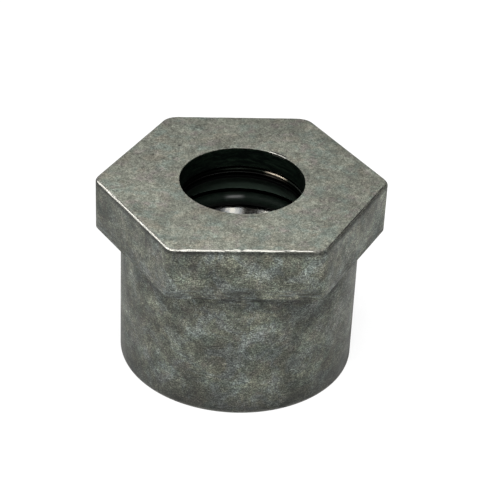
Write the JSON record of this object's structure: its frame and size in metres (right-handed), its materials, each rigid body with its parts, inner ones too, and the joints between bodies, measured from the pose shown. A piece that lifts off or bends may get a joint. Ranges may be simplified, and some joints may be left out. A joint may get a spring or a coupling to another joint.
{
  "type": "hex nipple",
  "caption": "Hex-headed push-in port nipple: a short round spigot under a thin hexagon head, with a plain bore that holds a grip ring, seals and a seat sleeve.",
  "frame": {"origin": "centre of the spigot's foot face, on the bore axis", "axes": "+Z along the bore axis from the foot to the hexagon head's top face; two hexagon flats face +Y and -Y, two hexagon corners point along +X and -X"},
  "size_m": [0.0366, 0.032, 0.025],
  "materials": {
    "body_steel": "matte mottled grey phosphated steel, edges worn bright",
    "spring_wire": "bright drawn spring wire",
    "spacer_plastic": "matte grey filled nylon",
    "seal_rubber": "black moulded rubber, slightly glossy",
    "polished_steel": "ground and polished steel",
    "dark_spring_steel": "blackened stamped spring steel"
  },
  "bodies": {
    "root": {"hex_body": "body_steel", "grip_ring": "spring_wire", "spacer_ring": "spacer_plastic", "bore_o_ring": "seal_rubber", "seat_sleeve": "polished_steel", "sleeve_o_ring": "seal_rubber", "circlip": "dark_spring_steel"}
  },
  "joints": []
}
